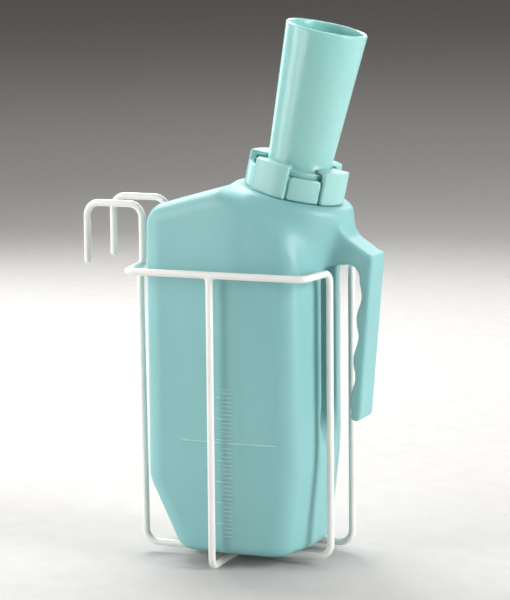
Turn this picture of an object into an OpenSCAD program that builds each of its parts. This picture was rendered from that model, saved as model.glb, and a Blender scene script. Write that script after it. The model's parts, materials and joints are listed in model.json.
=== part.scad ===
/* [Jug] */
// Width of the jug from its left end to the ridges of its hand recess
jug_w = 107.5; // [90:0.5:125]
// Depth of the jug between its front and rear crests
jug_d = 87; // [72:0.5:100]
// Height of the jug's low shoulder edge, at its left end, above its base
jug_h = 200.5; // [170:0.5:240]
// Wall thickness of the jug
wall = 2.4; // [1.6:0.1:3.2]
// Radius of the jug's rounded edges
edge_r = 9; // [6:0.5:10]
// Slope of the shoulder, rising from the left end towards the neck
shoulder_slope = 15.4; // [8:0.2:20]
// Distance of the front crest from the centre of the holder
crest_x = 8; // [-10:1:20]
// How far the front face falls back from its crest at the left corner
left_fall = 4; // [0:0.5:8]
// How far the front face falls back from its crest at the right corner
right_fall = 1.5; // [0:0.5:5]
// How far each front corner lies inside the end of the jug
corner_in = 7.4; // [4:0.2:12]
// Width of the blunt nose at the left end
nose_w = 20; // [10:1:36]
// Distance between the two ridges of the hand recess at the right end
ridge_w = 24; // [20:1:36]
// Height of the cut-away lower left corner above the base
cut_h = 41; // [20:1:60]
// Width of the cut-away lower left corner
cut_w = 20; // [8:1:26]
// Height over which the lower right end draws in
taper_h = 56; // [30:1:80]
// How far the lower right end draws in
taper_w = 6.5; // [2:0.5:10]
// Depth of the hand recess behind the handle
recess_depth = 6; // [3:0.5:9]

/* [Neck and ring nut] */
// Lean of the neck from the vertical, towards the handle
neck_tilt = 12.5; // [0:0.5:20]
// Distance of the neck's seat from the centre of the holder
neck_x = 30; // [20:0.5:34]
// Radius of the round collar below the ring nut
collar_r = 36.6; // [34:0.2:38]
// Outer radius of the neck under the thread
neck_r = 24; // [22:0.2:25]
// Radius of the hole through the neck
neck_bore_r = 20.6; // [20:0.1:21.5]
// Height of the neck above the collar
neck_h = 12; // [11:0.5:16]
// Pitch of the ring nut's thread
thread_pitch = 4; // [3.6:0.1:4.5]
// Radial depth of the thread
thread_depth = 1.4; // [1:0.1:1.6]
// Outer radius of the ring nut between its lugs
nut_r = 28.7; // [28:0.1:31]
// How far the lugs of the ring nut stand out
lug_proud = 1.5; // [0.5:0.1:3]
// Width of one lug around the ring nut, in degrees
lug_angle = 47; // [30:1:60]
// Place of the first lug around the neck, in degrees
lug_start = -104; // [-180:1:180]

/* [Spout tube] */
// Length of the spout from the collar to the rim of its mouth, along the neck
spout_h = 99; // [60:1:140]
// Outer radius of the spout at its mouth
mouth_r = 24; // [21:0.2:28]
// Outer radius of the spout where it leaves the ring nut
throat_r = 18.9; // [17:0.1:19.2]
// Length of the tube that hangs inside the jug, below the collar
inner_tube_h = 75; // [30:1:90]
// Wall thickness of the spout tube
tube_wall = 2.3; // [1.6:0.1:3]
// Thickness of the spout tube's flange
flange_t = 3.4; // [2.4:0.1:4.5]
// Thickness of the gasket between the flange and the neck
gasket_t = 1.5; // [1:0.1:3]

/* [Handle] */
// Width of the handle, front to back
handle_w = 22.4; // [16:0.2:26]
// Length of the grip from its top corner to its free end
grip_h = 99; // [70:1:120]
// Reach of the grip's top corner beyond the ridges of the hand recess
grip_reach = 31.5; // [26:0.5:40]
// Lean of the grip towards the jug, in degrees
grip_lean = 4.8; // [0:0.2:7]
// Mean thickness of the grip
grip_t = 6.4; // [5:0.2:10]
// Height of the finger ripples
ripple_h = 1.1; // [0:0.1:2]
// Distance from one finger ripple to the next
ripple_pitch = 24; // [18:0.5:28]

/* [Wire holder] */
// Diameter of the coated wire
wire_d = 4.2; // [3:0.1:6]
// Height of the hoop's centre line above the floor
hoop_z = 174.5; // [140:0.5:190]
// Gap between the left end of the jug and the wire
side_gap = 1.3; // [1:0.1:6]
// Gap between the right ridges of the jug and the wire
handle_gap = 5.3; // [2:0.1:10]
// Gap between the crest of the jug and the hoop
front_gap = 4.9; // [2:0.1:10]
// Half the distance between the front and rear cage wires
leg_y = 18.5; // [16:0.5:26]
// How far the hoop's front corners lie inside the legs
hoop_corner_in = 4; // [2:0.5:8]
// Height of the hooks' top wire above the floor
hook_z = 210; // [190:0.5:240]
// Distance between the two legs of a hook
hook_pitch = 36; // [28:0.5:60]
// Drop of a hook's free leg below its top wire
hook_drop = 37; // [20:1:60]
// Bend radius of the hooks
hook_bend_r = 8; // [5:0.5:12]
// Bend radius of the cage wires at the floor
floor_bend_r = 8; // [5:0.5:12]
// Bend radius of the hoop's corners
hoop_bend_r = 4.5; // [3:0.5:8]
// Place of the cross wire to the left of the holder's centre
cross_x = -3; // [-10:0.5:10]

/* [Hidden] */
$fn = 72;

aqua = "#8fc4c2";
aqua_light = "#a5d2cf";
coat_white = "#f4f3ef";
gasket_grey = "#d9dad6";

wire_r = wire_d / 2;
weld_sink = 0.5;
weld_gap = 0.3;
weld_bead = 0.9;
leg_lean = 3.5;
rest_gap = 0.2;
run_z = 3 * wire_r - weld_sink;
base_z = run_z + wire_r + rest_gap;

// Plan of the jug, about the holder's vertical centre line
jug_left = -(jug_w + handle_gap - side_gap) / 2;
jug_right = jug_left + jug_w;
leg_x = side_gap + wire_r - jug_left;
hoop_y = jug_d / 2 + front_gap + wire_r;

// Roof of the jug: it rises to the roof line, crosses the crest and falls to a brow at the right end
roof_back = 10;
seat_drop = 5.4;
brow_drop = 22;
brow_sink = 10;
brow_ease = 0.3;
roof_side_in = 1;
roof_x = crest_x - roof_back;
roof_z = base_z + jug_h + (roof_x - jug_left) * tan(shoulder_slope);
seat_z = roof_z - seat_drop;
brow_z = seat_z - brow_drop;

// Neck, nut and spout, measured along the neck from the top of the collar
fit_gap = 0.4;
nut_gap = 0.4;
nut_low_h = neck_h + 2;
neck_root = 10;
bore_depth = 24;
flange_z = neck_h + gasket_t;
flange_top = flange_z + flange_t;
flange_r = neck_r + 0.6;
plate_gap = 0.15;
plate_t = 2.4;
plate_clear = 0.8;
lug_h = flange_top + plate_gap + plate_t;
lug_count = 4;
nut_bore_r = neck_r + thread_depth + fit_gap;
ridge_t = thread_pitch * 0.45;
thread_turns = 1.75;
nut_turns = 1.5;
turn_steps = 28;
thread_low = 2.6;
collar_edge_r = 6;
collar_h = 14;
tube_slope = (mouth_r - throat_r) / (spout_h - lug_h);

function tube_r(s) = throat_r + (s - lug_h) * tube_slope;

// Plan outline of the jug between two end positions, with its front half-depth
function front_points(xl, xr, d) = [
    [xl, -nose_w / 2],
    [xl + corner_in, -(d - left_fall)],
    [crest_x, -d],
    [xr - corner_in, -(d - right_fall)],
    [xr, -ridge_w / 2]
];
function mirrored(pts) = [for (i = [len(pts) - 1:-1:0]) [pts[i][0], -pts[i][1]]];
function plan(xl, xr, d) = let (f = front_points(xl, xr, d)) concat(f, mirrored(f));

// The corner of a convex outline moved inwards by r
function unit(v) = v / norm(v);
function left_normal(a, b) = let (u = unit(b - a)) [-u[1], u[0]];
function inset_corner(a, b, c, r) =
    let (n1 = left_normal(a, b), n2 = left_normal(b, c))
    b + (n1 + n2) * r / (1 + n1 * n2);
function inset(pts, r) = let (n = len(pts)) [
    for (i = [0:n - 1]) inset_corner(pts[(i + n - 1) % n], pts[i], pts[(i + 1) % n], r)
];

// Height of the jug's roof over a point of the plan
function roof_at(x) =
    x < roof_x ? roof_z - (roof_x - x) * tan(shoulder_slope)
    : x < (crest_x + jug_right) / 2 ? roof_z - (x - roof_x) * tan(neck_tilt)
    : brow_z;

module at_neck() {
    translate([neck_x, 0, seat_z]) rotate([0, neck_tilt, 0]) children();
}

ball_facets = 24;

module ball(x, y, z, r) {
    translate([x, y, z]) sphere(r, $fn = ball_facets);
}

// Solid form of the jug without its neck, shrunk by t on every side
module jug_form(t) {
    r = edge_r - t;
    full = inset(plan(jug_left, jug_right, jug_d / 2), edge_r);
    foot = inset(plan(jug_left + cut_w, jug_right - taper_w, jug_d / 2), edge_r);
    hull() {
        translate([0, 0, base_z + t]) linear_extrude(edge_r / 2) polygon(foot);
        for (p = foot) ball(p[0], p[1], base_z + edge_r, r);
        for (p = full) {
            low_h = p[0] < crest_x ? cut_h : taper_h;
            ball(p[0], p[1], base_z + low_h, r);
            ball(p[0], p[1], roof_at(p[0]) - edge_r, r);
        }
        for (side = [-1, 1])
            ball(roof_x, side * (jug_d / 2 - edge_r - roof_side_in), roof_z - edge_r, r);
    }
    hull() {
        for (low = [0, collar_h])
            at_neck() rotate_extrude() translate([collar_r - collar_edge_r, -collar_edge_r - low])
                circle(collar_edge_r - t, $fn = ball_facets);
        for (p = full)
            if (p[0] > roof_x) ball(p[0], p[1], brow_z - edge_r - brow_sink, r - brow_ease);
    }
}

// Scoop for the fingers in the right end of the jug, deeper by t
module hand_scoop(t) {
    scoop_r = 16;
    scoop_facets = 32;
    run_out = 30;
    low_z = base_z + taper_h - edge_r - t;
    high_z = seat_z - 3 * scoop_r;
    deep_x = jug_right - recess_depth - t + scoop_r;
    end_x = jug_right - t + scoop_r - 0.5;
    hull() {
        translate([deep_x, 0, low_z + run_out])
            cylinder(r = scoop_r, h = high_z - low_z - run_out - edge_r, $fn = scoop_facets);
        translate([end_x, 0, low_z]) sphere(scoop_r, $fn = scoop_facets);
        translate([end_x, 0, high_z]) sphere(scoop_r, $fn = scoop_facets);
    }
}

// A helical ridge of triangular section round a cylinder; out = 1 for outside, -1 for inside
module helix_ridge(r, depth, width, z0, turns, out, phase) {
    steps = round(turns * turn_steps);
    rings = [for (i = [0:steps])
        let (a = phase + i * turns * 360 / steps, z = z0 + i * turns * thread_pitch / steps,
             fade = max(0.1, min(1, i / 3, (steps - i) / 3)),
             tip = r + out * depth * fade, root = r - out * 0.5)
        [for (q = [[root, -width / 2], [tip, -width / 8], [tip, width / 8], [root, width / 2]])
            [q[0] * cos(a), q[0] * sin(a), z + q[1]]]];
    pts = [for (g = rings) each g];
    sides = [for (i = [0:steps - 1], j = [0:3]) let (b = i * 4, n = (j + 1) % 4)
        out > 0 ? [b + j, b + n, b + 4 + n, b + 4 + j] : [b + 4 + j, b + 4 + n, b + n, b + j]];
    last = steps * 4;
    caps = out > 0
        ? [[3, 2, 1, 0], [last, last + 1, last + 2, last + 3]]
        : [[0, 1, 2, 3], [last + 3, last + 2, last + 1, last]];
    polyhedron(pts, concat(sides, caps), convexity = 8);
}

module jug_body() {
    color(aqua) difference() {
        union() {
            difference() {
                jug_form(0);
                hand_scoop(0);
            }
            at_neck() translate([0, 0, -neck_root]) cylinder(r = neck_r, h = neck_root + neck_h);
            at_neck() helix_ridge(neck_r, thread_depth, ridge_t, thread_low, thread_turns, 1, 0);
        }
        difference() {
            jug_form(wall);
            hand_scoop(wall);
        }
        at_neck() translate([0, 0, -bore_depth]) cylinder(r = neck_bore_r, h = bore_depth + neck_h + 1);
    }
}

// Outline of the handle in the XZ plane: arm, arch, rippled grip and round free end
corner_drop = 32.8;
arm_t = 6.8;
arm_rise = 17;
arm_top_x = neck_x + 30;
edge_step = 6.75;
root_x = jug_right - 14;
arch_r = 9;
arch_dip = 3;
corner_cut = 3;
first_ripple = 38;
ripple_steps = 36;
grip_top = [jug_right + grip_reach, seat_z - corner_drop];
grip_low = grip_top[1] - grip_h;
arch_z = grip_top[1] - arm_t;

function grip_outer(z) = grip_top[0] - (grip_top[1] - z) * tan(grip_lean);
function ripple(z) = ripple_h * cos((grip_top[1] - z - first_ripple) * 360 / ripple_pitch);

module handle_outline() {
    end_r = grip_t / 2;
    inner_top = arch_z - arch_r;
    end_z = grip_low + end_r;
    arch_x = grip_outer(inner_top) - grip_t - arch_r;
    end_x = grip_outer(end_z) - end_r;
    arch = [for (a = [90:-15:15]) [arch_x + arch_r * cos(a), inner_top + arch_r * sin(a)]];
    inner = [for (i = [0:ripple_steps])
        let (z = inner_top + (end_z - inner_top) * i / ripple_steps)
        [grip_outer(z) - grip_t - ripple(z), z]];
    round_end = [for (a = [180:20:360]) [end_x + end_r * cos(a), end_z + end_r * sin(a)]];
    polygon(concat(
        [[root_x, arch_z - arch_dip], [jug_right + 2, arch_z - arch_dip / 2]],
        arch, inner, round_end,
        [[grip_outer(grip_top[1] - corner_cut), grip_top[1] - corner_cut]],
        [[grip_top[0] - corner_cut, grip_top[1] + corner_cut / 4]],
        [[arm_top_x + edge_step, grip_top[1] + arm_rise / 2]],
        [[arm_top_x, grip_top[1] + arm_rise], [root_x, grip_top[1] + arm_rise]]
    ));
}

module jug_handle() {
    color(aqua) difference() {
        translate([0, handle_w / 2, 0]) rotate([90, 0, 0]) linear_extrude(handle_w) handle_outline();
        jug_form(0);
    }
}

module spout_tube() {
    inner_r = tube_r(-inner_tube_h);
    color(aqua_light) at_neck() rotate_extrude() difference() {
        union() {
            polygon([
                [0, -inner_tube_h], [inner_r, -inner_tube_h], [mouth_r, spout_h - tube_wall / 2],
                [mouth_r - tube_wall / 2, spout_h], [0, spout_h]
            ]);
            translate([0, flange_z]) square([flange_r, flange_t]);
        }
        polygon([
            [0, -inner_tube_h - 1], [inner_r - tube_wall, -inner_tube_h - 1],
            [inner_r - tube_wall, -inner_tube_h], [mouth_r - tube_wall, spout_h - tube_wall / 2],
            [mouth_r - tube_wall / 2, spout_h + 0.01], [0, spout_h + 0.01]
        ]);
    }
}

module neck_gasket() {
    gasket_clear = 0.4;
    color(gasket_grey) at_neck() translate([0, 0, neck_h]) difference() {
        cylinder(r = neck_r, h = gasket_t);
        translate([0, 0, -1]) cylinder(r = tube_r(flange_z) + gasket_clear, h = gasket_t + 2);
    }
}

module ring_nut() {
    plate_r = tube_r(lug_h) + plate_clear;
    color(aqua_light) at_neck() {
        difference() {
            union() {
                translate([0, 0, nut_gap]) cylinder(r = nut_r, h = nut_low_h - nut_gap);
                for (i = [0:lug_count - 1])
                    rotate([0, 0, lug_start + i * 360 / lug_count - lug_angle / 2])
                        rotate_extrude(angle = lug_angle) translate([plate_r, nut_gap])
                            square([nut_r + lug_proud - plate_r, lug_h - nut_gap]);
            }
            translate([0, 0, -1]) cylinder(r = nut_bore_r, h = 1 + flange_top + plate_gap);
        }
        helix_ridge(nut_bore_r, thread_depth, ridge_t, thread_low + thread_pitch / 2, nut_turns, -1, 0);
    }
}

// Centre line of a round wire through a list of points, with a bend radius for each inner point
bend_steps = 6;
wire_sides = 16;
end_angles = [80, 50, 20];

function bend_points(a, b, c, r) =
    let (u = unit(b - a), v = unit(c - b), turn = acos(u * v),
         start = b - u * r * tan(turn / 2), inward = unit(v - u * (u * v)))
    [for (i = [0:bend_steps]) let (w = turn * i / bend_steps)
        start + u * r * sin(w) + inward * r * (1 - cos(w))];

function wire_line(pts, radii) = let (n = len(pts)) concat(
    [pts[0]],
    [for (i = [1:n - 2]) each bend_points(pts[i - 1], pts[i], pts[i + 1], radii[i])],
    [pts[n - 1]]
);

function tangents(line) = let (n = len(line)) [for (i = [0:n - 1])
    i == 0 ? unit(line[1] - line[0])
    : i == n - 1 ? unit(line[n - 1] - line[n - 2])
    : unit(unit(line[i + 1] - line[i]) + unit(line[i] - line[i - 1]))];

function square_to(n, t) = unit(n - t * (n * t));

function wire_ring(centre, n, t, r) = let (b = cross(t, n)) [for (j = [0:wire_sides - 1])
    let (a = j * 360 / wire_sides) centre + r * (n * cos(a) + b * sin(a))];

module bent_wire(pts, radii) {
    line = wire_line(pts, radii);
    t = tangents(line);
    count = len(line);
    n = [for (i = 0, v = square_to([0.3, 1, 0.2], t[0]); i < count;
        i = i + 1, v = i < count ? square_to(v, t[i]) : v) v];
    rings = concat(
        [for (e = end_angles) wire_ring(line[0] - t[0] * wire_r * sin(e), n[0], t[0], wire_r * cos(e))],
        [for (i = [0:count - 1]) wire_ring(line[i], n[i], t[i], wire_r)],
        [for (k = [2:-1:0]) let (e = end_angles[k], m = count - 1)
            wire_ring(line[m] + t[m] * wire_r * sin(e), n[m], t[m], wire_r * cos(e))]
    );
    last = (len(rings) - 1) * wire_sides;
    sides = [for (i = [0:len(rings) - 2], j = [0:wire_sides - 1])
        let (a = i * wire_sides, b = a + wire_sides, m = (j + 1) % wire_sides)
        [a + j, b + j, b + m, a + m]];
    ends = [[for (j = [0:wire_sides - 1]) j], [for (j = [wire_sides - 1:-1:0]) last + j]];
    polyhedron([for (g = rings) each g], concat(sides, ends), convexity = 10);
}

// One cage wire: hook, half of the hoop, right leg, floor run and left leg; side is -1 in front, 1 behind
module cage_wire(side) {
    y = side * leg_y;
    corner_x = leg_x - hoop_corner_in;
    tip = [-leg_x - hook_pitch, y, hook_z - hook_drop + wire_r];
    weld = [-leg_x, y + side * leg_lean, hoop_z - 2 * wire_r - weld_gap];
    color(coat_white) bent_wire(
        [
            tip, [tip[0], y, hook_z], [-leg_x, y, hook_z], [-leg_x, y, hoop_z],
            [-corner_x, side * hoop_y, hoop_z], [corner_x, side * hoop_y, hoop_z],
            [leg_x, y, hoop_z], [leg_x, y, run_z], [-leg_x, y, run_z],
            weld
        ],
        [
            0, hook_bend_r, hook_bend_r, hoop_bend_r,
            hoop_bend_r, hoop_bend_r,
            hoop_bend_r * 4 / 3, floor_bend_r, floor_bend_r,
            0
        ]
    );
    color(coat_white) ball(weld[0], weld[1], weld[2] + wire_r, wire_r * weld_bead);
}

module front_cage_wire() {
    cage_wire(-1);
}

module rear_cage_wire() {
    cage_wire(1);
}

module cross_wire() {
    cross_bend_r = 5;
    top_z = hoop_z - 2 * wire_r + weld_sink;
    color(coat_white) bent_wire(
        [
            [cross_x, -hoop_y, top_z], [cross_x, -hoop_y, wire_r],
            [cross_x, hoop_y, wire_r], [cross_x, hoop_y, top_z]
        ],
        [0, cross_bend_r, cross_bend_r, 0]
    );
}

jug_body();
jug_handle();
spout_tube();
neck_gasket();
ring_nut();
front_cage_wire();
rear_cage_wire();
cross_wire();
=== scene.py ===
import json
import math

import bmesh
import bpy
import numpy as np
from mathutils import Matrix, Vector


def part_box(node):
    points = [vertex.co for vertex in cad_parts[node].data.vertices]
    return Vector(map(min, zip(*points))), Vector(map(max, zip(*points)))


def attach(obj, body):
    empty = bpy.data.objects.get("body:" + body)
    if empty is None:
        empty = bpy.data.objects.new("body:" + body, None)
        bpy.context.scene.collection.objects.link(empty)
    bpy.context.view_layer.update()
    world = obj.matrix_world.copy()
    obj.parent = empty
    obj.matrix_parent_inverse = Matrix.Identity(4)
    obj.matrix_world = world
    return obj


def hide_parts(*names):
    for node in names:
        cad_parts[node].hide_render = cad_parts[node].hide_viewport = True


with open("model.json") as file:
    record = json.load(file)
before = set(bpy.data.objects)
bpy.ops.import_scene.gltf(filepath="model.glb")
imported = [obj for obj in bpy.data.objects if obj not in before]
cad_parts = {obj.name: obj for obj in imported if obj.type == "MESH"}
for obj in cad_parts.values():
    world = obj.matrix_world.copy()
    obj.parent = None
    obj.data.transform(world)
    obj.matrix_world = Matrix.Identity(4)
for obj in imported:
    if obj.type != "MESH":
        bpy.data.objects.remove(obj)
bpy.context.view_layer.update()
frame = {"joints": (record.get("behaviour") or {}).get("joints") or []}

# A urine bottle with a screwed-on spout, standing in a wire holder that hooks on a bed rail.
# Shapes are worked out in millimetres and turned into metres when a mesh is made.
MM = 0.001
joints = {j["name"]: j for j in frame["joints"]}


def mm(v):
    """Metres to millimetres."""
    return np.array(v, float) / MM


# ---------------------------------------------------------------- driving sizes
# What the frame gives: boxes, and the neck's seat, axis and lean
holder_low, holder_high = (mm(v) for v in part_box("front_cage_wire"))
cross_low, cross_high = (mm(v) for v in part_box("cross_wire"))
body_low = mm(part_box("jug_body")[0])
grip_low, grip_high = (mm(v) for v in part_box("jug_handle"))
SEAT = mm(joints["nut_turn"]["pos_m"])
AXIS = np.array(joints["nut_turn"]["axis"], float)
AXIS /= np.linalg.norm(AXIS)
TILT = math.atan2(AXIS[0], AXIS[2])
SIDE = np.array([AXIS[2], 0.0, -AXIS[0]])
DEPTH = np.array([0.0, 1.0, 0.0])

# Jug: the front and the back each have two long faces, which meet in a crest and fall away to the ends
LEFT, RIGHT = body_low[0], 51.75
BASE = body_low[2]
HALF_D = 43.5
CREST_X = 8.0
LEFT_FALL, RIGHT_FALL = 4.0, 1.5
# Each end starts CORNER_IN from the jug's end and narrows to half the width of its nose or its ridges
CORNER_IN = 7.4
NOSE, RIDGE = 10.0, 12.0
UPRIGHT_EDGE = 9.0
BASE_EDGE = 5.0
WALL = 2.4

# Jug's top: a shoulder that climbs to the right, and a brow that falls beyond it
ROOF_X, ROOF_Z = -2.0, SEAT[2] + 5.4
SHOULDER_SLOPE = math.radians(15.4)
SHOULDER_EDGE = 10.0
BROW_X, BROW_SLOPE = 13.0, math.radians(40.0)

# Jug's foot: the slanting cut at the left, and the taper at the right
CUT_H, CUT_W = 41.0, 20.0
TAPER_H, TAPER_W = 56.0, 6.5

# Hand recess in the right end, wider and shallower low down; its floor rises by RECESS_BOWL times the
# distance from the middle squared
RECESS_TOP = SEAT[2] - 36
RECESS_HALF, RECESS_FLARE = 11.6, 9.0
RECESS_DEPTH = 7.0
RECESS_BOWL = 0.026
RECESS_EDGE = 1.6

# Collar and neck
COLLAR_R, COLLAR_EDGE = 36.6, 5.0
BORE_R = 20.6
NECK_R, NECK_H = 24.0, 12.0
THREAD_PITCH, THREAD_DEPTH = 4.0, 1.4
THREAD_STEPS = 48

# Handle
GRIP_W = grip_high[1] - grip_low[1]
GRIP_TOP = np.array([grip_high[0], SEAT[2] - 32.8])
GRIP_LEAN = math.tan(math.radians(4.8))
GRIP_T = 6.4
GRIP_H = 99.0
RIPPLE, RIPPLE_PITCH = 1.1, 24.0
ARM_T, ARCH_R = 6.8, 9.0
HANDLE_EDGE = 1.5

# Fill scale on the front face
FILL_Z = 75.0
FILL_X = (-26.3, 35.3)
MARK_Z, MARK_PITCH, MARK_COUNT = 19.2, 2.5, 36
MARK_END_X = 7.5
SHORT_MARK_X, LONG_MARK_X = 1.0, -3.5

# Nut and spout, measured along the neck from the collar; angles are in degrees round the neck
NUT_R, LUG_R = 28.7, 30.2
LUG_H, LOW_H, NUT_GAP = 19.45, 14.0, 0.4
LUG_HALF, LUG_START, LUG_STEP = 23.5, -104.0, 90.0
NUT_BORE_R = NECK_R + THREAD_DEPTH + 0.4
FLANGE_Z, FLANGE_T, FLANGE_R = 13.5, 3.4, 24.6
SPOUT_H, MOUTH_R, THROAT_R = 99.0, 24.0, 18.9
INNER_TUBE = 75.0
TUBE_WALL = 2.3

# Holder: hooks and legs in two upright planes, a hoop round them, and a cross wire. A left leg shifts
# outwards to end just under the hoop's corner
WIRE_R = 2.1
LEG_X = holder_high[0] - WIRE_R
LEG_Y = 18.5
HOOK_X = holder_low[0] + WIRE_R
HOOK_Z = holder_high[2] - WIRE_R
HOOK_DROP = 37.0
HOOP_Z = 174.5
HOOP_Y = cross_high[1] - WIRE_R
HOOP_CORNER = 4.0
RUN_Z = holder_low[2] + WIRE_R
LEG_SHIFT = 3.5
LEG_END_Z = HOOP_Z - 2 * WIRE_R - 0.3
CROSS_X = (cross_low[0] + cross_high[0]) / 2
CROSS_END_Z = HOOP_Z - 2 * WIRE_R + 0.5
WELD_REACH, WELD_FLOW, WELD_UNDER = 5.5, 4.0, 0.03

# Grid steps of the meshes that come from fields
OUT_STEP = 1.5
IN_STEP = 2.5
NUT_STEP = 0.75
WELD_STEP = 0.6


# ---------------------------------------------------------------- distance fields
# A field gives, for rows of points, how far each lies outside a solid (below zero inside).
def cubic_min(a, b, k):
    """The lesser of two distances, with a soft blend where they differ by less than k."""
    h = np.maximum(k - np.abs(a - b), 0) / k
    return np.minimum(a, b) - h**3 * k / 6


def cubic_max(a, b, k):
    return -cubic_min(-a, -b, k)


def round_both(a, b, r):
    """Where both solids are, with the edge between them rounded to radius r."""
    beyond = np.hypot(np.maximum(a + r, 0), np.maximum(b + r, 0))
    return np.minimum(np.maximum(a, b), -r) + beyond


def smooth_step(t):
    """0 up to t = 0, 1 from t = 1 on, and a smooth rise between."""
    t = np.clip(t, 0, 1)
    return t * t * (3 - 2 * t)


def plane2(px, py, a, b):
    """Distance from the line a to b, positive on its left."""
    d = np.subtract(b, a)
    n = np.array([-d[1], d[0]]) / np.hypot(*d)
    return (px - a[0]) * n[0] + (py - a[1]) * n[1]


def outline_distance(px, py, points):
    """Signed distance to a closed outline of straight pieces."""
    best = np.full(px.shape, 1e18)
    inside = np.zeros(px.shape, bool)
    for (ax, ay), (bx, by) in zip(points, points[1:] + points[:1]):
        ex, ey = bx - ax, by - ay
        t = np.clip(((px - ax) * ex + (py - ay) * ey) / (ex * ex + ey * ey), 0, 1)
        best = np.minimum(best, (px - ax - t * ex) ** 2 + (py - ay - t * ey) ** 2)
        if ay != by:
            crosses = ((ay <= py) & (by > py)) | ((by <= py) & (ay > py))
            inside ^= crosses & (px < ax + (py - ay) / ey * ex)
    return np.where(inside, -1, 1) * np.sqrt(best)


def neck_frame(p):
    """Height along the neck, distance from its axis, and angle round it."""
    q = p - SEAT
    s = q @ AXIS
    u, v = q @ SIDE, q[:, 1]
    return s, np.hypot(u, v), np.arctan2(v, u)


def plan_field(x, ay, z):
    """The jug's upright sides; ay is the distance from its middle plane, as front and back are alike."""
    cut = cubic_max(CUT_W * (BASE + CUT_H - z) / CUT_H, np.zeros_like(z), 3)
    taper = cubic_max(TAPER_W * (BASE + TAPER_H - z) / TAPER_H, np.zeros_like(z), 2)
    xl, xr = x - cut, x + taper
    crest = (CREST_X, HALF_D)
    left_face = -plane2(x, ay, crest, (LEFT, HALF_D - LEFT_FALL))
    right_face = -plane2(x, ay, (RIGHT, HALF_D - RIGHT_FALL), crest)
    front = cubic_max(left_face, right_face, 0.5)
    nose_face = -plane2(xl, ay, (LEFT + CORNER_IN, HALF_D - LEFT_FALL), (LEFT, NOSE))
    nose = cubic_max(LEFT - xl, nose_face, 1.2)
    nose /= np.where(cut > 0.5, math.hypot(1, CUT_W / CUT_H), 1)
    ridge_face = -plane2(xr, ay, (RIGHT, RIDGE), (RIGHT - CORNER_IN, HALF_D - RIGHT_FALL))
    ridge = cubic_max(xr - RIGHT, ridge_face, 0.8)
    return round_both(round_both(front, nose, UPRIGHT_EDGE), ridge, UPRIGHT_EDGE)


def recess_field(x, ay, z):
    """The hand recess in the right end, a bowl between its two ridges."""
    half = RECESS_HALF + RECESS_FLARE * smooth_step((BASE + 92 - z) / 42)
    depth = RECESS_DEPTH * smooth_step((z - BASE - 46) / 44)
    floor = RIGHT - depth + RECESS_BOWL * ay * ay - x
    return round_both(round_both(ay - half, floor, 2.5), z - RECESS_TOP, 6)


def body_field(p):
    """The jug without its handle, bore and hollow."""
    x, z = p[:, 0], p[:, 2]
    ay = np.abs(p[:, 1])
    plan = plan_field(x, ay, z)
    left = (z - ROOF_Z) * math.cos(SHOULDER_SLOPE) - (x - ROOF_X) * math.sin(SHOULDER_SLOPE)
    right = (z - ROOF_Z) * math.cos(TILT) + (x - ROOF_X) * math.sin(TILT)
    brow_z = ROOF_Z - (BROW_X - ROOF_X) * math.tan(TILT)
    brow = (z - brow_z) * math.cos(BROW_SLOPE) + (x - BROW_X) * math.sin(BROW_SLOPE)
    roof = cubic_max(cubic_max(left, right, 1.5), brow, 5)
    block = round_both(plan, roof, SHOULDER_EDGE)

    # The collar's round column turns into the plan's own outline further down, where the blend must vanish.
    s, rho, _ = neck_frame(p)
    share = smooth_step((-s - 5) / 42)
    column = (1 - share) * (rho - COLLAR_R) + share * plan
    column = round_both(column, s, COLLAR_EDGE)
    flow = 0.1 + (1 - share) * (4 + 12 * smooth_step((x - 2) / 24))
    body = cubic_min(block, column, flow)
    body = round_both(body, -recess_field(x, ay, z), RECESS_EDGE)
    return round_both(body, BASE - z, BASE_EDGE)


def arc_points(x, z, r, degrees):
    """Points on an arc round (x, z), one for each angle."""
    return [(x + r * math.cos(a), z + r * math.sin(a)) for a in np.radians(degrees)]


def handle_outline(inset):
    """Arm, arch, rippled grip and round free end, drawn smaller by inset."""
    arch_z = GRIP_TOP[1] - ARM_T + inset
    inner_top = arch_z - ARCH_R
    end_r = GRIP_T / 2 - inset
    end_z = GRIP_TOP[1] - GRIP_H + GRIP_T / 2

    def outer(z):
        return GRIP_TOP[0] - inset - (GRIP_TOP[1] - z) * GRIP_LEAN

    def inner(z):
        ripple = RIPPLE * math.cos((GRIP_TOP[1] - z - 38) * math.tau / RIPPLE_PITCH)
        return outer(z) - GRIP_T + 2 * inset - ripple

    root = RIGHT - 16
    top = GRIP_TOP[1] - inset
    arm_under = [(root, arch_z - 3), (RIGHT + 2, arch_z - 1.5)]
    arch = arc_points(inner(inner_top) - ARCH_R, inner_top, ARCH_R, range(90, 10, -10))
    grip = [(inner(z), z) for z in np.linspace(inner_top, end_z, 34)]
    end = arc_points(outer(end_z) - end_r, end_z, end_r, range(190, 361, 17))
    grip_top = [(outer(top - 1), top - 1), (outer(top) - 3, top + 0.4)]
    arm_top = [(GRIP_TOP[0] - 16.3, top + 8.4), (GRIP_TOP[0] - 23.0, top + 17.0), (root, top + 17.0)]
    return arm_under + arch + grip + end + grip_top + arm_top


HANDLE_POINTS = handle_outline(HANDLE_EDGE)


def handle_field(p):
    """The handle's outline as a slab with rounded edges; far points just get a large distance."""
    near = (p[:, 0] > RIGHT - 24) & (np.abs(p[:, 1]) < GRIP_W)
    out = np.full(len(p), 50.0)
    x, y, z = p[near].T
    flat = outline_distance(x, z, HANDLE_POINTS)
    slab = np.abs(y) - GRIP_W / 2 + HANDLE_EDGE
    beyond = np.hypot(np.maximum(flat, 0), np.maximum(slab, 0))
    out[near] = np.minimum(np.maximum(flat, slab), 0) + beyond - HANDLE_EDGE
    return out


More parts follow.
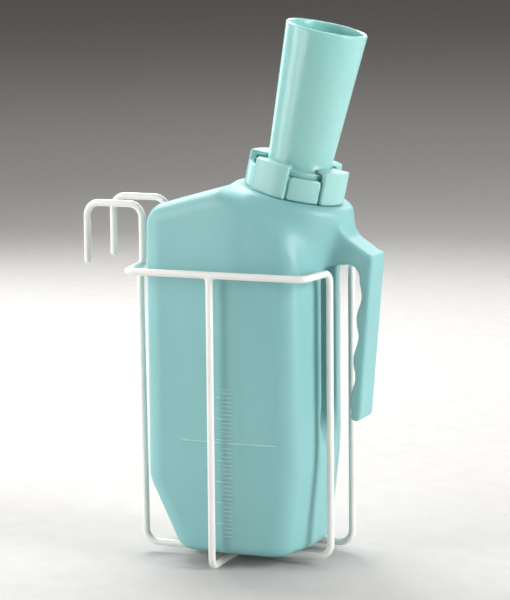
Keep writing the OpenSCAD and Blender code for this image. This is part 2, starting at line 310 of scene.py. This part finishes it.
def jug_outside(p):
    """Body and handle together, with a wider blend at the arm's top than under it."""
    flow = 7 + 5 * smooth_step((p[:, 2] - SEAT[2] + 52) / 20)
    return cubic_min(body_field(p), handle_field(p), flow)


def jug_inside(p):
    return body_field(p) + WALL


def nut_field(p):
    """The castellated ring nut: tall lugs, low pads between them, and a core that shows in the slots."""
    s, rho, angle = neck_frame(p)
    turn = (np.degrees(angle) - LUG_START + LUG_STEP / 2) % LUG_STEP - LUG_STEP / 2
    arc = rho * np.radians(np.abs(turn))
    lug_side = arc - rho * math.radians(LUG_HALF)
    lug = round_both(round_both(rho - LUG_R, s - LUG_H, 1.1), lug_side, 0.9)
    pad_side = rho * math.radians(LUG_HALF + 2.2) - arc
    pad = round_both(rho - NUT_R, round_both(s - LOW_H, pad_side, 2.4), 0.7)
    core = round_both(rho - NUT_R + 1.3, s - LOW_H + 0.7, 0.6)
    whole = np.minimum(np.minimum(lug, pad), core)
    whole = round_both(whole, NUT_GAP - s, 0.5)
    spout_hole = THROAT_R + 0.8 - rho
    flange_pocket = np.maximum(rho - NUT_BORE_R, s - (FLANGE_Z + FLANGE_T + 0.15))
    return np.maximum(round_both(whole, spout_hole, 0.6), -flange_pocket)


# ---------------------------------------------------------------- meshes from fields
def gradient(field, p):
    """The field's slope at each point, from two nearby values along each axis."""
    step = 0.05
    g = np.empty_like(p)
    for axis in range(3):
        d = np.zeros(3)
        d[axis] = step
        g[:, axis] = (field(p + d) - field(p - d)) / (2 * step)
    return g


def onto(field, p, rounds):
    """Moves points onto the field's surface."""
    for _ in range(rounds):
        g = gradient(field, p)
        p = p - (field(p) / np.maximum((g * g).sum(1), 0.2))[:, None] * g
    return p


def surface_net(field, low, high, step, relax):
    """A mesh of quads on a field's surface: one corner in each grid cell that the surface crosses."""
    axes = [np.arange(a, b + step, step) for a, b in zip(low, high)]
    shape = tuple(len(a) for a in axes)
    grid = np.stack(np.meshgrid(*axes, indexing="ij"), -1).reshape(-1, 3)
    parts = np.array_split(grid, 1 + len(grid) // 200000)
    value = np.concatenate([field(part) for part in parts]).reshape(shape)
    solid = value < 0

    def corner(a, c):
        return a[c[0]:shape[0] - 1 + c[0], c[1]:shape[1] - 1 + c[1], c[2]:shape[2] - 1 + c[2]]

    corners = [(i, j, k) for i in (0, 1) for j in (0, 1) for k in (0, 1)]
    count = sum(corner(solid, c).astype(int) for c in corners)
    active = (count > 0) & (count < 8)
    number = np.full(active.shape, -1)
    number[active] = np.arange(active.sum())

    # A cell's corner starts at the mean of the places where the surface crosses the cell's edges.
    total = np.zeros((active.sum(), 3))
    hits = np.zeros(active.sum())
    for a in corners:
        for axis in range(3):
            if a[axis]:
                continue
            b = tuple(1 if n == axis else a[n] for n in range(3))
            va, vb = corner(value, a)[active], corner(value, b)[active]
            cross = (va < 0) != (vb < 0)
            t = np.where(cross, va / np.where(va == vb, 1, va - vb), 0)
            place = np.tile(np.array(a, float), (len(t), 1))
            place[:, axis] = t
            total += place * cross[:, None]
            hits += cross
    cell = np.argwhere(active)
    points = np.array(low) + (cell + total / hits[:, None]) * step

    # Each grid edge that the surface crosses gives one quad, through the four cells round that edge.
    quads = []
    for axis in range(3):
        m, n = (axis + 1) % 3, (axis + 2) % 3
        lo = [slice(None)] * 3
        hi = [slice(None)] * 3
        lo[axis], hi[axis] = slice(0, -1), slice(1, None)
        start, end = solid[tuple(lo)], solid[tuple(hi)]
        at = np.argwhere(start != end)
        at = at[(at[:, m] > 0) & (at[:, n] > 0) & (at[:, m] < shape[m] - 1) & (at[:, n] < shape[n] - 1)]
        dm = np.eye(3, dtype=int)[m]
        dn = np.eye(3, dtype=int)[n]
        ring = [number[tuple((at - k).T)] for k in (dm * 0, dm, dm + dn, dn)]
        face = np.stack(ring, 1)
        outward = start[tuple(at.T)]
        quads.append(np.where(outward[:, None], face, face[:, ::-1]))
    quads = np.concatenate(quads)
    quads = quads[(quads >= 0).all(1)]

    # The corners are evened out along the surface.
    edges = np.concatenate([quads[:, [i, (i + 1) % 4]] for i in range(4)])
    for _ in range(relax):
        pull = np.zeros_like(points)
        n = np.zeros(len(points))
        for a, b in ((0, 1), (1, 0)):
            np.add.at(pull, edges[:, a], points[edges[:, b]])
            np.add.at(n, edges[:, a], 1)
        points = points + 0.5 * (pull / np.maximum(n, 1)[:, None] - points)
        points = onto(field, points, 1)
    return onto(field, points, 2), quads


def make_mesh(name, points, faces, smooth=True):
    """An object from points in millimetres and faces as rows of corner numbers."""
    mesh = bpy.data.meshes.new(name)
    mesh.from_pydata((np.asarray(points) * MM).tolist(), [], [list(map(int, f)) for f in faces])
    mesh.validate()
    piece = bpy.data.objects.new(name, mesh)
    bpy.context.scene.collection.objects.link(piece)
    bm = bmesh.new()
    bm.from_mesh(mesh)
    bmesh.ops.recalc_face_normals(bm, faces=bm.faces)
    bm.to_mesh(mesh)
    bm.free()
    if smooth:
        mesh.shade_smooth()
    return piece


def join_parts(parts):
    """Several (points, faces) as one."""
    points, faces, base = [], [], 0
    for p, f in parts:
        points.append(np.asarray(p, float))
        faces += [[base + int(i) for i in row] for row in f]
        base += len(p)
    return np.concatenate(points), faces


# ---------------------------------------------------------------- meshes from lathes and sweeps
def ring_faces(rings, n, closed=False):
    """Quads between neighbouring rings of n points each; closed joins the last ring to the first."""
    faces = []
    for i in range(rings if closed else rings - 1):
        here, there = i * n, (i + 1) % rings * n
        for j in range(n):
            k = (j + 1) % n
            faces.append([here + j, here + k, there + k, there + j])
    return faces


def round_neck(s, r, angle):
    """The point at height s along the neck, at radius r and the given angle."""
    return SEAT + AXIS * s + (SIDE * math.cos(angle) + DEPTH * math.sin(angle)) * r


def lathe(profile, steps):
    """Turns a closed profile of (height, radius) points round the neck."""
    angles = np.linspace(0, math.tau, steps, endpoint=False)
    rings = [[round_neck(s, r, a) for s, r in profile] for a in angles]
    return np.array(rings).reshape(-1, 3), ring_faces(steps, len(profile), closed=True)


def rounded(profile, radii, steps=6):
    """Rounds the corners of a closed profile."""
    out = []
    n = len(profile)
    for i, r in enumerate(radii):
        a, b, c = (np.array(profile[(i + k) % n], float) for k in (-1, 0, 1))
        if r <= 0:
            out.append(tuple(b))
            continue
        u, v = (a - b) / np.linalg.norm(a - b), (c - b) / np.linalg.norm(c - b)
        half = math.acos(np.clip(u @ v, -1, 1)) / 2
        reach = r / math.tan(half)
        middle = b + (u + v) / np.linalg.norm(u + v) * r / math.sin(half)
        start, end = b + u * reach - middle, b + v * reach - middle
        angle = math.acos(np.clip(start @ end / (r * r), -1, 1))
        for k in range(steps + 1):
            t = k / steps
            p = (start * math.sin((1 - t) * angle) + end * math.sin(t * angle)) / math.sin(angle)
            out.append(tuple(middle + p))
    return out


def bent_line(points, radii, steps=12):
    """A polyline whose corners are bent to the given radii."""
    line = [np.array(points[0], float)]
    for a, b, c, r in zip(points, points[1:], points[2:], radii[1:]):
        a, b, c = (np.array(v, float) for v in (a, b, c))
        u, v = (b - a) / np.linalg.norm(b - a), (c - b) / np.linalg.norm(c - b)
        turn = math.acos(np.clip(u @ v, -1, 1))
        start = b - u * r * math.tan(turn / 2)
        inward = v - u * (u @ v)
        inward /= np.linalg.norm(inward)
        for k in range(steps + 1):
            w = turn * k / steps
            line.append(start + u * r * math.sin(w) + inward * r * (1 - math.cos(w)))
    line.append(np.array(points[-1], float))
    return line


def tube(line, r):
    """A round wire along a line, with domed ends."""
    sides, cap_steps = 24, 5
    line = [np.array(p, float) for p in line]
    ways = [line[min(i + 1, len(line) - 1)] - line[max(i - 1, 0)] for i in range(len(line))]
    ways = [w / np.linalg.norm(w) for w in ways]
    dome = [math.pi / 2 * k / cap_steps for k in range(1, cap_steps)]
    stations = [(line[0] - ways[0] * r * math.sin(a), ways[0], r * math.cos(a)) for a in reversed(dome)]
    stations += [(p, w, r) for p, w in zip(line, ways)]
    stations += [(line[-1] + ways[-1] * r * math.sin(a), ways[-1], r * math.cos(a)) for a in dome]
    turns = np.linspace(0, math.tau, sides, endpoint=False)
    across = np.cross(ways[0], [0.3, 1, 0.2])
    rings = []
    for p, w, size in stations:
        across = across - w * (across @ w)
        across /= np.linalg.norm(across)
        other = np.cross(w, across)
        rings.append([p + size * (across * math.cos(a) + other * math.sin(a)) for a in turns])
    tips = [line[0] - ways[0] * r, line[-1] + ways[-1] * r]
    points = np.concatenate([np.array(rings).reshape(-1, 3), tips])
    first, last = len(points) - 2, len(points) - 1
    base = (len(rings) - 1) * sides
    faces = ring_faces(len(rings), sides)
    faces += [[first, (j + 1) % sides, j] for j in range(sides)]
    faces += [[last, base + j, base + (j + 1) % sides] for j in range(sides)]
    return points, faces


def capped(rings):
    """The faces of a sweep through equal rings, with both ends closed."""
    n = len(rings[0])
    last = (len(rings) - 1) * n
    return ring_faces(len(rings), n) + [list(reversed(range(n))), [last + j for j in range(n)]]


def helix(radius, out, turns, start_s):
    """A thread ridge round the neck, fading at both ends; out is 1 on an outside and -1 in a bore."""
    steps = round(turns * THREAD_STEPS)
    section = [(-0.9, -0.4), (-0.35, 1), (0.35, 1), (0.9, -0.4)]
    rings = []
    for i in range(steps + 1):
        angle = i * math.tau / THREAD_STEPS
        s = start_s + THREAD_PITCH * i / THREAD_STEPS
        fade = smooth_step(min(i, steps - i) / 6)
        reach = [out * THREAD_DEPTH * (d if d < 0 else d * fade) for _, d in section]
        rings.append([round_neck(s + h, radius + d, angle) for (h, _), d in zip(section, reach)])
    return np.array(rings).reshape(-1, 3), capped(rings)


# ---------------------------------------------------------------- materials
def new_material(name):
    mat = bpy.data.materials.new(name)
    mat.use_nodes = True
    tree = mat.node_tree
    shader = tree.nodes["Principled BSDF"]
    return mat, tree, shader


def noise(tree, scale, detail, rough, stretch=(1, 1, 1)):
    """Noise in the object's own metres, stretched along its axes."""
    where = tree.nodes.new("ShaderNodeTexCoord")
    place = tree.nodes.new("ShaderNodeMapping")
    place.inputs["Scale"].default_value = stretch
    tree.links.new(where.outputs["Object"], place.inputs["Vector"])
    tex = tree.nodes.new("ShaderNodeTexNoise")
    tex.inputs["Scale"].default_value = scale
    tex.inputs["Detail"].default_value = detail
    tex.inputs["Roughness"].default_value = rough
    tree.links.new(place.outputs["Vector"], tex.inputs["Vector"])
    return tex.outputs["Fac"]


def ramp(tree, value, stops):
    """A colour ramp with stops of (position, colour)."""
    node = tree.nodes.new("ShaderNodeValToRGB")
    while len(node.color_ramp.elements) < len(stops):
        node.color_ramp.elements.new(0.5)
    for element, (position, colour) in zip(node.color_ramp.elements, stops):
        element.position = position
        element.color = (*colour, 1)
    tree.links.new(value, node.inputs["Fac"])
    return node.outputs["Color"]


def spread(tree, value, low, high):
    """A 0 to 1 value stretched to run from low to high."""
    node = tree.nodes.new("ShaderNodeMapRange")
    node.inputs["To Min"].default_value = low
    node.inputs["To Max"].default_value = high
    tree.links.new(value, node.inputs["Value"])
    return node.outputs["Result"]


def bumps(tree, shader, layers):
    """Bumps in layers of (height, strength, distance), one on top of another."""
    normal = None
    for height, strength, distance in layers:
        node = tree.nodes.new("ShaderNodeBump")
        node.inputs["Strength"].default_value = strength
        node.inputs["Distance"].default_value = distance
        tree.links.new(height, node.inputs["Height"])
        if normal:
            tree.links.new(normal, node.inputs["Normal"])
        normal = node.outputs["Normal"]
    tree.links.new(normal, shader.inputs["Normal"])


def soft_inside(shader, weight, radius, scale):
    """Light that enters the surface and comes out near by."""
    shader.inputs["Subsurface Weight"].default_value = weight
    shader.inputs["Subsurface Radius"].default_value = radius
    shader.inputs["Subsurface Scale"].default_value = scale


def moulded_plastic(name, dark, light, rough, subsurface):
    """Pale polypropylene: cloudy wall with upright flow streaks, fine mould skin, and sharp edges painted
    lighter as a highlight where light shines through the thin plastic.
    """
    mat, tree, shader = new_material(name)
    cloud = noise(tree, 28, 4, 0.55, (1, 1, 0.35))
    tone = ramp(tree, cloud, [(0.3, dark), (0.7, light)])
    # Painted highlight: sharp convex edges get a lighter colour, broken up by fine noise, standing in for
    # light shining through the thin plastic.
    edge = tree.nodes.new("ShaderNodeNewGeometry").outputs["Pointiness"]
    edge_light_mask = ramp(tree, edge, [(0.56, (0, 0, 0)), (0.68, (1, 1, 1))])
    edge_light_colour = [min(1, c * 1.35 + 0.06) for c in light]
    edge_light_breakup = noise(tree, 240, 5, 0.6)
    edge_light_amount = tree.nodes.new("ShaderNodeMath")
    edge_light_amount.operation = "MULTIPLY"
    tree.links.new(edge_light_mask, edge_light_amount.inputs[0])
    tree.links.new(edge_light_breakup, edge_light_amount.inputs[1])
    mix = tree.nodes.new("ShaderNodeMix")
    mix.data_type = "RGBA"
    tree.links.new(edge_light_amount.outputs[0], mix.inputs["Factor"])
    tree.links.new(tone, mix.inputs["A"])
    mix.inputs["B"].default_value = (*edge_light_colour, 1)
    tree.links.new(mix.outputs["Result"], shader.inputs["Base Color"])
    tree.links.new(spread(tree, cloud, rough - 0.03, rough + 0.03), shader.inputs["Roughness"])
    shader.inputs["IOR"].default_value = 1.49
    soft_inside(shader, subsurface, (0.5, 1.0, 1.0), 0.004)
    mould_skin = noise(tree, 1400, 2, 0.5)
    bumps(tree, shader, [(cloud, 0.10, 0.0003), (mould_skin, 0.05, 0.0001)])
    return mat


def vinyl_dip(name):
    """White vinyl dip coat on wire: slow waves of the dip, fine pits, and a glossy skin."""
    mat, tree, shader = new_material(name)
    wave = noise(tree, 70, 3, 0.5)
    grime = noise(tree, 22, 5, 0.6)
    dull, clean, bright = (0.76, 0.75, 0.70), (0.84, 0.83, 0.80), (0.88, 0.875, 0.85)
    tone = ramp(tree, grime, [(0.25, dull), (0.5, clean), (0.8, bright)])
    tree.links.new(tone, shader.inputs["Base Color"])
    tree.links.new(spread(tree, wave, 0.24, 0.40), shader.inputs["Roughness"])
    shader.inputs["IOR"].default_value = 1.5
    soft_inside(shader, 0.08, (1.0, 0.95, 0.85), 0.001)
    shader.inputs["Coat Weight"].default_value = 0.25
    shader.inputs["Coat Roughness"].default_value = 0.15
    pits = noise(tree, 900, 2, 0.5)
    bumps(tree, shader, [(wave, 0.25, 0.0006), (pits, 0.08, 0.0002)])
    return mat


def silicone(name):
    """Pale silicone rubber with a fine dusty bloom."""
    mat, tree, shader = new_material(name)
    dust = noise(tree, 300, 5, 0.6)
    tone = ramp(tree, dust, [(0.3, (0.52, 0.54, 0.52)), (0.7, (0.66, 0.67, 0.64))])
    tree.links.new(tone, shader.inputs["Base Color"])
    tree.links.new(spread(tree, dust, 0.45, 0.65), shader.inputs["Roughness"])
    soft_inside(shader, 0.2, (1.0, 1.0, 1.0), 0.002)
    bumps(tree, shader, [(dust, 0.2, 0.0003)])
    return mat


def floor_paper(name):
    """Plain pale studio paper with a faint grain and a fine tooth."""
    mat, tree, shader = new_material(name)
    grain = noise(tree, 60, 4, 0.6)
    tone = ramp(tree, grain, [(0.3, (0.52, 0.51, 0.50)), (0.7, (0.56, 0.55, 0.54))])
    tree.links.new(tone, shader.inputs["Base Color"])
    tree.links.new(spread(tree, grain, 0.75, 0.9), shader.inputs["Roughness"])
    shader.inputs["Specular IOR Level"].default_value = 0.15
    tooth = noise(tree, 500, 3, 0.5)
    bumps(tree, shader, [(tooth, 0.05, 0.0002)])
    return mat


# Each plastic: name, darker and lighter tone, roughness, and how much light passes through it
jug_plastic = moulded_plastic(
    "aqua_polypropylene", (0.215, 0.475, 0.478), (0.245, 0.515, 0.518), 0.42, 0.15
)
# The raised marks are the jug's own plastic, coloured lighter as a painted highlight where light catches
# their tops.
lit_mark_plastic = moulded_plastic(
    "aqua_marks_painted_highlight", (0.36, 0.60, 0.60), (0.42, 0.66, 0.66), 0.30, 0.15
)
spout_plastic = moulded_plastic(
    "aqua_gloss_polypropylene", (0.29, 0.56, 0.54), (0.31, 0.585, 0.56), 0.24, 0.55
)
nut_plastic = moulded_plastic(
    "aqua_nut_polypropylene", (0.29, 0.56, 0.54), (0.34, 0.61, 0.59), 0.33, 0.15
)
wire_coat = vinyl_dip("white_vinyl_dip")
gasket_rubber = silicone("pale_silicone")


def finish_piece(piece, material, body, slot_name, *nodes):
    """Gives a piece its material and its body, and hides the CAD nodes it stands for; slot_name is not
    used.
    """
    piece.data.materials.append(material)
    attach(piece, body)
    if nodes:
        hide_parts(*nodes)


# ---------------------------------------------------------------- jug
def without_neck_hole(net, top):
    """Drops the faces over the neck's hole that lie above height top along the neck."""
    points, quads = net
    s, rho, _ = neck_frame(points)
    over = (rho < (NECK_R + BORE_R) / 2) & (s > top)
    return points, quads[~over[quads].any(1)]


def jug_mesh():
    """Outer and inner skins, joined round the neck's hole."""
    low = np.array([body_low[0], -HALF_D, BASE])
    high = np.array([grip_high[0], HALF_D, ROOF_Z])
    outer = surface_net(jug_outside, low - 3 * OUT_STEP, high + 3 * OUT_STEP, OUT_STEP, 3)
    inner = surface_net(jug_inside, low - IN_STEP, high + IN_STEP, IN_STEP, 3)
    skins = [without_neck_hole(outer, -1), without_neck_hole(inner, -WALL - 1)]
    piece = make_mesh("jug_shell", *join_parts(skins))
    bm = bmesh.new()
    bm.from_mesh(piece.data)
    bmesh.ops.delete(bm, geom=[v for v in bm.verts if not v.link_faces], context="VERTS")
    bmesh.ops.bridge_loops(bm, edges=[e for e in bm.edges if e.is_boundary])
    bmesh.ops.recalc_face_normals(bm, faces=bm.faces)
    for face in bm.faces:
        face.smooth = True
    bm.to_mesh(piece.data)
    bm.free()
    return piece


jug = jug_mesh()
finish_piece(jug, jug_plastic, "jug", "jug_plastic", "jug_body", "jug_handle")

neck_profile = rounded(
    [(-3, BORE_R), (-3, NECK_R), (NECK_H, NECK_R), (NECK_H, BORE_R)],
    [0, 0, 0.7, 0.7],
)
neck_thread = helix(NECK_R, 1, 1.75, 2.6)
neck = make_mesh("threaded_neck", *join_parts([lathe(neck_profile, 128), neck_thread]))
finish_piece(neck, jug_plastic, "jug", "jug_plastic")


def surface_bar(x0, x1, z, width, height):
    """A low moulded ridge lying on the jug's front face, from x0 to x1 at height z, with low ends."""
    count = max(4, int(abs(x1 - x0) / 2.5) + 1)
    in_front = np.stack([np.linspace(x0, x1, count), np.full(count, -HALF_D - 0.5), np.full(count, z)], 1)
    spine = onto(jug_outside, in_front, 3)
    normal = gradient(jug_outside, spine)
    normal /= np.linalg.norm(normal, axis=1)[:, None]
    up = np.array([0, 0, 1.0])
    root = [(-width / 2, -0.4), (width / 2, -0.4)]
    section = [(math.cos(a) * width / 2, math.sin(a) * height) for a in np.linspace(0, math.pi, 7)] + root
    size = [0.25] + [1.0] * (count - 2) + [0.25]
    rings = []
    for point, out, share in zip(spine, normal, size):
        rings.append([point + up * h * share + out * (d if d < 0 else d * share) for h, d in section])
    return np.array(rings).reshape(-1, 3), capped(rings)


def scale_bars():
    """A fill line, and a ladder of marks with every fifth one longer."""
    bars = [surface_bar(*FILL_X, FILL_Z, 0.9, 0.55)]
    for i in range(MARK_COUNT):
        z = MARK_Z + i * MARK_PITCH
        start_x = LONG_MARK_X if i % 5 == 3 else SHORT_MARK_X
        if abs(z - FILL_Z) >= 1:
            bars.append(surface_bar(start_x, MARK_END_X, z, 0.8, 0.5))
    return bars


# The marks take the lighter plastic: a painted highlight on their tops.
scale = make_mesh("fill_scale", *join_parts(scale_bars()))
finish_piece(scale, lit_mark_plastic, "jug", "jug_plastic")


# ---------------------------------------------------------------- spout, gasket and nut
def tube_r(s):
    """The spout's outer radius at height s, on one long cone."""
    return THROAT_R + (s - LUG_H) * (MOUTH_R - THROAT_R) / (SPOUT_H - LUG_H)


def spout_profile():
    """Up the outside past the flange, over the round lip, and down the inside to the inner tube's foot."""
    foot_z, foot_r = -INNER_TUBE, tube_r(-INNER_TUBE)
    flange_top = FLANGE_Z + FLANGE_T
    below = [(s, tube_r(s)) for s in (foot_z + 1.2, -50, -25, 0, FLANGE_Z - 0.6)]
    flange = rounded(
        [(FLANGE_Z, tube_r(FLANGE_Z)), (FLANGE_Z, FLANGE_R), (flange_top, FLANGE_R), (flange_top, 22)],
        [0, 0.4, 0.7, 0],
    )
    above = [(s, tube_r(s)) for s in np.linspace(LUG_H - 1.6, SPOUT_H - 4, 12)]
    lip_r = TUBE_WALL / 2
    lip = [
        (SPOUT_H - lip_r + math.sin(a) * lip_r, MOUTH_R - lip_r + math.cos(a) * lip_r)
        for a in np.linspace(0, math.pi, 9)
    ]
    inner = [(s, tube_r(s) - TUBE_WALL) for s in np.linspace(SPOUT_H - 4, foot_z + 1.2, 18)]
    foot = [(foot_z, foot_r - TUBE_WALL + 0.6), (foot_z, foot_r - 0.6)]
    return below + flange + [(flange_top, tube_r(FLANGE_Z) + 1.0)] + above + lip + inner + foot


spout = make_mesh("spout_funnel", *lathe(spout_profile(), 160))
finish_piece(spout, spout_plastic, "spout_insert", "spout_plastic", "spout_tube")

gasket_in = tube_r(FLANGE_Z) + 0.4
gasket_profile = rounded(
    [(NECK_H, gasket_in), (NECK_H, NECK_R), (FLANGE_Z, NECK_R), (FLANGE_Z, gasket_in)],
    [0.4, 0.6, 0.6, 0.4],
    4,
)
gasket = make_mesh("gasket_ring", *lathe(gasket_profile, 96))
finish_piece(gasket, gasket_rubber, "spout_insert", "gasket", "neck_gasket")

nut_centre = SEAT + AXIS * LUG_H / 2
nut_reach = np.array([LUG_R + 5, LUG_R + 4, LUG_H / 2 + 9])
nut_ring = surface_net(nut_field, nut_centre - nut_reach, nut_centre + nut_reach, NUT_STEP, 2)
nut_thread = helix(NUT_BORE_R, -1, 1.5, 4.6)
nut = make_mesh("screw_ring_nut", *join_parts([nut_ring, nut_thread]))
finish_piece(nut, nut_plastic, "nut", "nut_plastic", "ring_nut")


# ---------------------------------------------------------------- wire holder
def cage_line(side):
    """One bent wire: hook, half of the hoop, right leg, floor run and left leg; side is -1 at the front."""
    y = side * LEG_Y
    hoop_y = side * HOOP_Y
    hoop_x = LEG_X - HOOP_CORNER
    hook = [(HOOK_X, y, HOOK_Z - HOOK_DROP + WIRE_R), (HOOK_X, y, HOOK_Z), (-LEG_X, y, HOOK_Z)]
    hoop = [(-LEG_X, y, HOOP_Z), (-hoop_x, hoop_y, HOOP_Z), (hoop_x, hoop_y, HOOP_Z), (LEG_X, y, HOOP_Z)]
    legs = [(LEG_X, y, RUN_Z), (-LEG_X, y, RUN_Z), (-LEG_X, y + side * LEG_SHIFT, LEG_END_Z)]
    return bent_line(hook + hoop + legs, [0, 8, 8, 4.5, 4.5, 4.5, 6, 8, 8, 0])


for side, name, node in ((-1, "front_wire", "front_cage_wire"), (1, "rear_wire", "rear_cage_wire")):
    wire = make_mesh(name, *tube(cage_line(side), WIRE_R))
    finish_piece(wire, wire_coat, "holder", "wire_coating", node)

cross_front = [(CROSS_X, -HOOP_Y, CROSS_END_Z), (CROSS_X, -HOOP_Y, WIRE_R)]
cross_back = [(CROSS_X, HOOP_Y, WIRE_R), (CROSS_X, HOOP_Y, CROSS_END_Z)]
cross = make_mesh("cross_wire_piece", *tube(bent_line(cross_front + cross_back, [0, 5, 5, 0]), WIRE_R))
finish_piece(cross, wire_coat, "holder", "wire_coating", "cross_wire")


def segment_distance(p, a, b):
    """Distance of each point from the straight stretch a to b."""
    a, b = np.array(a, float), np.array(b, float)
    t = np.clip((p - a) @ (b - a) / ((b - a) @ (b - a)), 0, 1)
    return np.linalg.norm(p - a - t[:, None] * (b - a), axis=1)


def weld(at, wire_a, wire_b):
    """The fillet where two wires meet: both wires blended, just under their skins, inside a ball."""
    at = np.array(at, float)

    def field(p):
        to_a, to_b = segment_distance(p, *wire_a), segment_distance(p, *wire_b)
        both = cubic_min(to_a, to_b, WELD_FLOW) - WIRE_R + WELD_UNDER
        return np.maximum(both, np.linalg.norm(p - at, axis=1) - WELD_REACH)

    return surface_net(field, at - WELD_REACH - 1, at + WELD_REACH + 1, WELD_STEP, 1)


def side_welds(side):
    """Hoop to cross wire, floor run to cross wire, and left leg to hoop corner, on one side."""
    y, hoop_y = side * LEG_Y, side * HOOP_Y
    run_x = LEG_X - 12
    hoop_run = ((-run_x, hoop_y, HOOP_Z), (run_x, hoop_y, HOOP_Z))
    cross_post = ((CROSS_X, hoop_y, 20), (CROSS_X, hoop_y, CROSS_END_Z))
    floor_run = ((-run_x, y, RUN_Z), (run_x, y, RUN_Z))
    cross_run = ((CROSS_X, -HOOP_Y + 8, WIRE_R), (CROSS_X, HOOP_Y - 8, WIRE_R))
    leg = ((-LEG_X, y + side * 3.0, HOOP_Z - 26), (-LEG_X, y + side * LEG_SHIFT, LEG_END_Z))
    corner = ((-LEG_X, y, HOOP_Z), (-LEG_X + HOOP_CORNER, hoop_y, HOOP_Z))
    return [
        weld((CROSS_X, hoop_y, HOOP_Z - WIRE_R), hoop_run, cross_post),
        weld((CROSS_X, y, (RUN_Z + WIRE_R) / 2), floor_run, cross_run),
        weld((-LEG_X, y + side * 4, HOOP_Z - WIRE_R), leg, corner),
    ]


welds = make_mesh("weld_fillets", *join_parts(side_welds(-1) + side_welds(1)))
finish_piece(welds, wire_coat, "holder", "wire_coating")


# ---------------------------------------------------------------- stage, lights, camera
def studio_floor(radius, sides):
    """A wide flat disc of pale paper: the camera looks down on it, so it fills the picture."""
    angles = np.linspace(0, math.tau, sides, endpoint=False)
    rim = [(radius / MM * math.cos(a), radius / MM * math.sin(a), 0) for a in angles]
    paper = make_mesh("paper_floor", rim, [list(range(sides))], smooth=False)
    paper.data.materials.append(floor_paper("studio_paper"))


def soft_box(name, place, aim, width, height, power):
    light = bpy.data.lights.new(name, "AREA")
    light.shape = "RECTANGLE"
    light.size, light.size_y = width, height
    light.energy = power
    box = bpy.data.objects.new(name, light)
    bpy.context.scene.collection.objects.link(box)
    box.location = place
    box.rotation_euler = (Vector(aim) - Vector(place)).to_track_quat("-Z", "Y").to_euler()


def surroundings(colour, strength):
    world = bpy.data.worlds.new("studio_air")
    world.use_nodes = True
    back = world.node_tree.nodes["Background"]
    back.inputs["Color"].default_value = (*colour, 1)
    back.inputs["Strength"].default_value = strength
    bpy.context.scene.world = world


def camera(aim, distance, yaw, pitch, roll, lens):
    """Looks at aim from a distance in metres, with yaw, pitch and roll in degrees and lens in mm."""
    yaw, pitch, roll = (math.radians(v) for v in (yaw, pitch, roll))
    way = Vector((-math.sin(yaw) * math.cos(pitch), math.cos(yaw) * math.cos(pitch), -math.sin(pitch)))
    across = Vector((math.cos(yaw), math.sin(yaw), 0))
    up = across.cross(way)
    right = across * math.cos(roll) + up * math.sin(roll)
    up = up * math.cos(roll) - across * math.sin(roll)
    data = bpy.data.cameras.new("photo_camera")
    data.sensor_fit = "AUTO"
    data.sensor_width = 36
    data.lens = lens
    data.clip_end = 30
    cam = bpy.data.objects.new("photo_camera", data)
    bpy.context.scene.collection.objects.link(cam)
    turn = Matrix((right, up, -way)).transposed()
    cam.matrix_world = Matrix.Translation(Vector(aim) - way * distance) @ turn.to_4x4()
    bpy.context.scene.camera = cam


studio_floor(12.0, 64)

# Five tall soft boxes stand round the object; each has a name, a place and a power in watts.
MIDDLE = (0.0, 0.0, 0.16)
TALL_BOXES = [
    ("right_box", (1.19, -0.12, 0.5), 15.5),
    ("left_front_box", (-0.77, -0.92, 0.5), 7.4),
    ("left_box", (-1.11, -0.45, 0.5), 6.8),
    ("left_back_box", (-0.98, 0.70, 0.5), 3.0),
    ("right_back_box", (0.74, 0.95, 0.5), 1.3),
]
for box_name, box_place, box_power in TALL_BOXES:
    soft_box(box_name, box_place, MIDDLE, 0.5, 0.9, box_power)
soft_box("overhead_box", (0.0, 1.4, 3.2), (0.0, 0.9, 0.0), 2.0, 2.0, 42.0)
soft_box("high_left_box", (-0.65, 0.55, 1.05), MIDDLE, 0.8, 0.4, 11.0)
soft_box("low_back_box", (-0.2, 1.1, 0.7), MIDDLE, 1.4, 0.3, 6.0)
surroundings((1.0, 0.95, 0.89), 0.14)
camera((0.0050, 0.0, 0.1531), 1.6031, 22.08, 8.83, -0.51, 162.4)
bpy.context.scene.view_settings.view_transform = "Standard"
